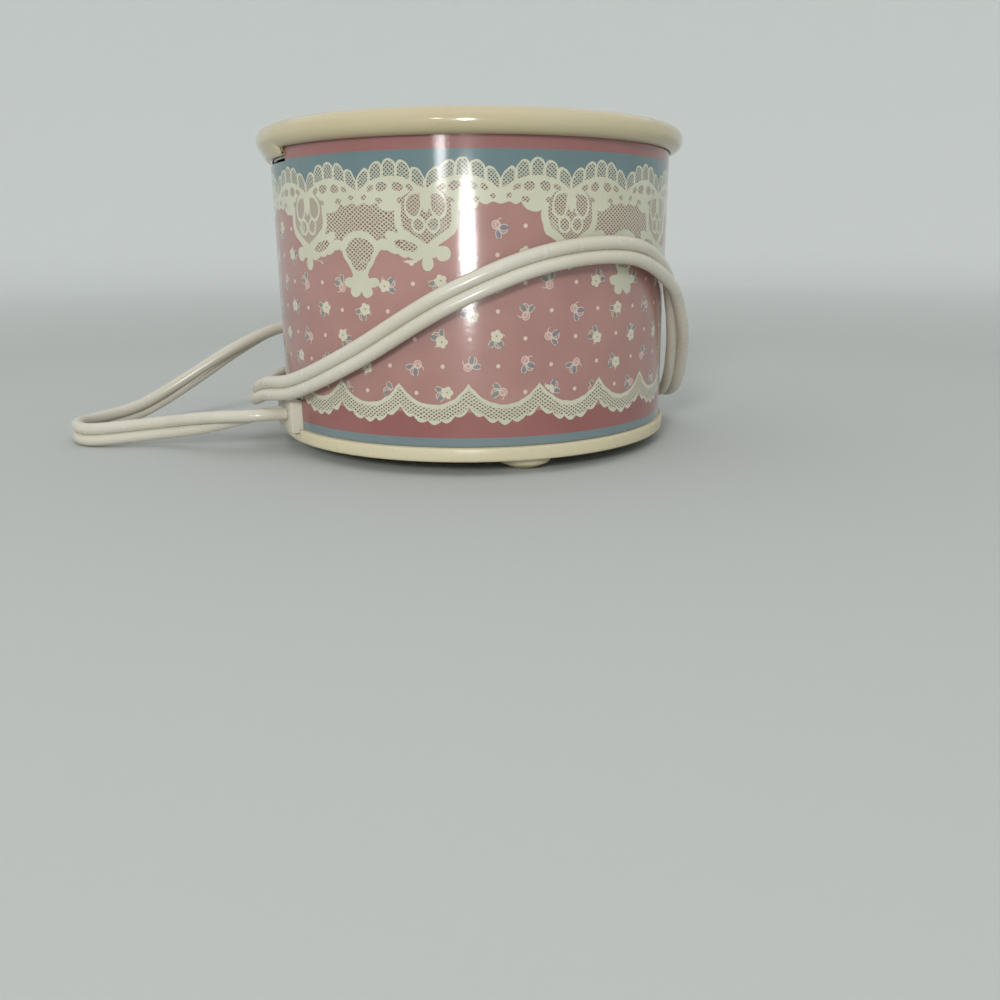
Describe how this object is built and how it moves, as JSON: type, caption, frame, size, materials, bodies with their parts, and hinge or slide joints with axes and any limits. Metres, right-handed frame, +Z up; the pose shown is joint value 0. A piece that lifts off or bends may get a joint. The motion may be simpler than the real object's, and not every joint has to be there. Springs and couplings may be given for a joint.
{
  "type": "potpourri simmer pot",
  "caption": "Small round electric warmer with a lift-out glazed stoneware crock on a low printed metal housing, with a flat twin lead and plug.",
  "frame": {"origin": "on the pot's centre line, on the surface that the three feet stand on", "axes": "+Z up, -Y towards the front of the picture, +X to the right"},
  "size_m": [0.2033, 0.1948, 0.0935],
  "materials": {
    "glazed_stoneware": "glossy almond glaze",
    "printed_tinplate": "glossy print in dusty rose, cream and grey blue",
    "bare_tinplate": "bare",
    "cream_plastic": "moulded, satin gloss",
    "foot_plastic": "moulded",
    "white_plastic": "moulded",
    "well_aluminium": "pressed sheet",
    "heater_sleeving": "braided glass sleeving",
    "foil": "bright",
    "glass_wool": "matted fibre",
    "plated_steel": "zinc plated",
    "fuse_ceramic": "unglazed",
    "lead_insulation": "silicone",
    "cord_plastic": "soft moulded vinyl",
    "blade_brass": "plain"
  },
  "bodies": {
    "housing": {"printed_band": "printed_tinplate", "band_seam_strip": "bare_tinplate", "base_pan": "cream_plastic", "foot_1": "foot_plastic", "foot_2": "foot_plastic", "foot_3": "foot_plastic", "cord_outlet_block": "white_plastic", "heating_well": "well_aluminium", "heater_wire": "heater_sleeving", "heater_wrap": "foil", "insulation_blanket": "glass_wool", "heat_shield": "foil", "centre_stud": "plated_steel", "shield_spacer": "plated_steel", "washer": "plated_steel", "clamp_nut": "plated_steel", "thermal_fuse": "fuse_ceramic", "fuse_clip": "plated_steel", "lead_live": "lead_insulation", "lead_neutral": "lead_insulation", "fuse_lead": "lead_insulation", "crimp_live": "plated_steel", "crimp_neutral": "plated_steel", "power_cord": "cord_plastic", "plug_body": "cord_plastic", "plug_blade_1": "blade_brass", "plug_blade_2": "blade_brass"},
    "crock": {"stoneware_crock": "glazed_stoneware"}
  },
  "joints": [
    {"name": "crock_lift", "type": "slide", "parent": "housing", "child": "crock", "axis": [0, 0, 1], "range_m": [0, 0.085]}
  ]
}
